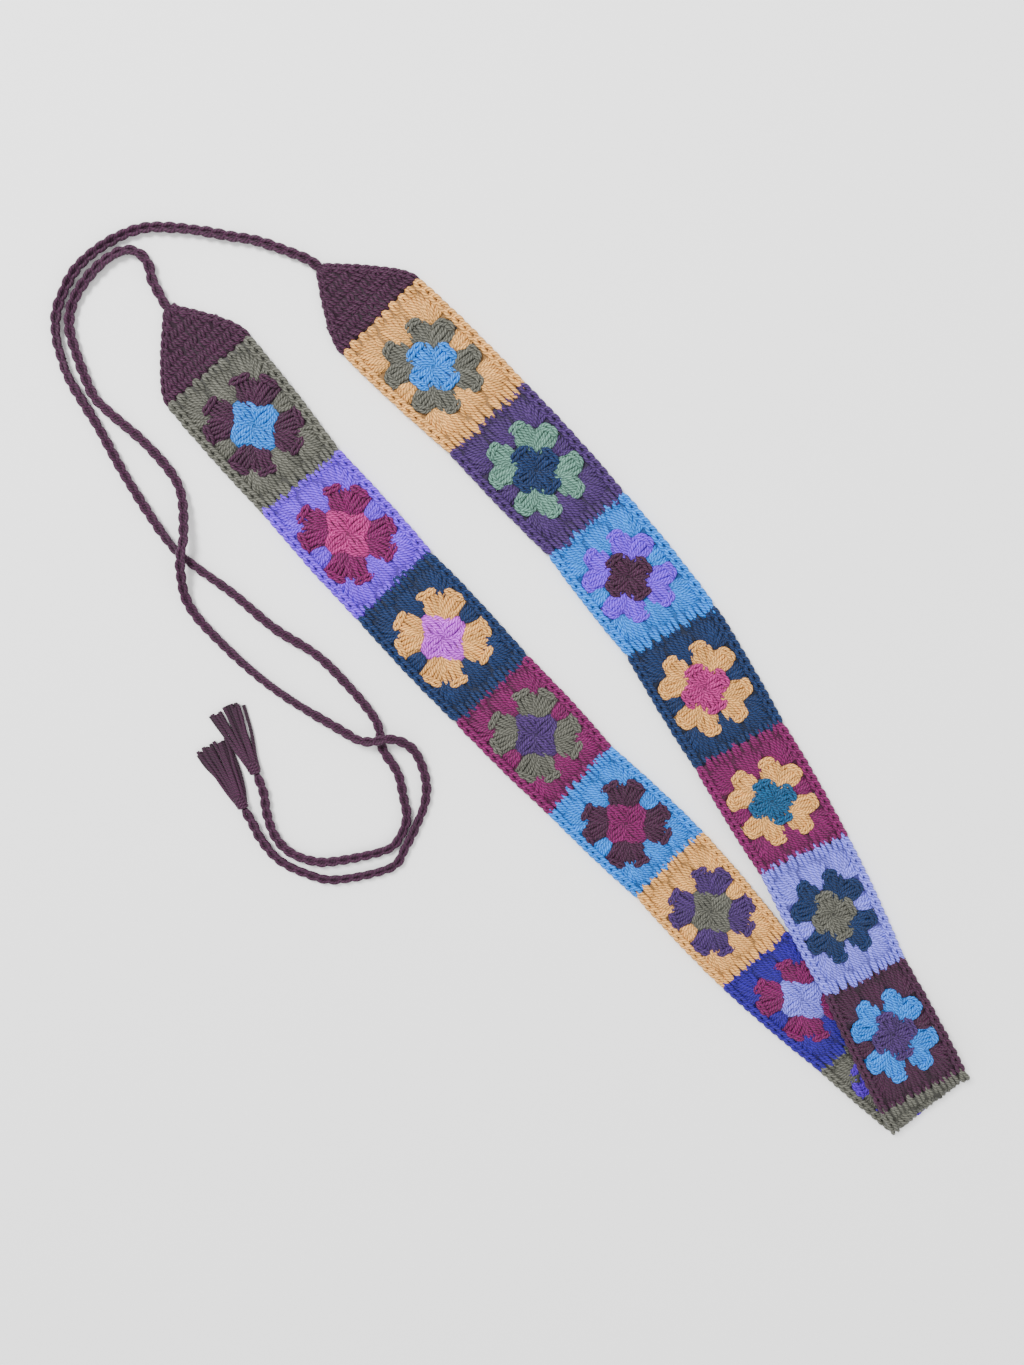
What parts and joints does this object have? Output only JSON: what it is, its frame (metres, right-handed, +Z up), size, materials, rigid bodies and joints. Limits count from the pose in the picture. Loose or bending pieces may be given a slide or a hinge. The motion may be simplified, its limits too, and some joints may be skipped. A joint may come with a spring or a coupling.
{
  "type": "crochet tie belt",
  "caption": "Long crocheted belt of joined granny squares, folded over once and lying flat, with pointed tips, chain ties and a tassel on each tie.",
  "frame": {"origin": "on the surface it lies on, under the middle of the box of the squares and tips", "axes": "+Z up; the belt lies across the XY plane with its fold towards +X and -Y and its tips towards -X and +Y"},
  "size_m": [0.4719, 0.4744, 0.0103],
  "materials": {
    "plum_yarn": "matte",
    "grey_yarn": "matte",
    "sky_yarn": "matte",
    "lilac_yarn": "matte",
    "magenta_yarn": "matte",
    "rose_yarn": "matte",
    "navy_yarn": "matte",
    "tan_yarn": "matte",
    "orchid_yarn": "matte",
    "purple_yarn": "matte",
    "indigo_yarn": "matte",
    "periwinkle_yarn": "matte",
    "violet_yarn": "matte",
    "teal_yarn": "matte",
    "sage_yarn": "matte"
  },
  "bodies": {
    "root": {"square_01_centre": "sky_yarn", "square_01_petals": "plum_yarn", "square_01_border": "grey_yarn", "square_02_centre": "rose_yarn", "square_02_petals": "magenta_yarn", "square_02_border": "lilac_yarn", "square_03_centre": "orchid_yarn", "square_03_petals": "tan_yarn", "square_03_border": "navy_yarn", "square_04_centre": "purple_yarn", "square_04_petals": "grey_yarn", "square_04_border": "magenta_yarn", "square_05_centre": "magenta_yarn", "square_05_petals": "plum_yarn", "square_05_border": "sky_yarn", "square_06_centre": "grey_yarn", "square_06_petals": "purple_yarn", "square_06_border": "tan_yarn", "square_07_centre": "periwinkle_yarn", "square_07_petals": "magenta_yarn", "square_07_border": "indigo_yarn", "square_08_centre": "rose_yarn", "square_08_petals": "violet_yarn", "square_08_border": "grey_yarn", "square_09_centre": "purple_yarn", "square_09_petals": "sky_yarn", "square_09_border": "plum_yarn", "square_10_centre": "grey_yarn", "square_10_petals": "navy_yarn", "square_10_border": "periwinkle_yarn", "square_11_centre": "teal_yarn", "square_11_petals": "tan_yarn", "square_11_border": "magenta_yarn", "square_12_centre": "rose_yarn", "square_12_petals": "tan_yarn", "square_12_border": "navy_yarn", "square_13_centre": "plum_yarn", "square_13_petals": "lilac_yarn", "square_13_border": "sky_yarn", "square_14_centre": "navy_yarn", "square_14_petals": "sage_yarn", "square_14_border": "purple_yarn", "square_15_centre": "sky_yarn", "square_15_petals": "grey_yarn", "square_15_border": "tan_yarn", "left_tip": "plum_yarn", "left_tie": "plum_yarn", "left_tassel": "plum_yarn", "right_tip": "plum_yarn", "right_tie": "plum_yarn", "right_tassel": "plum_yarn"}
  },
  "joints": []
}
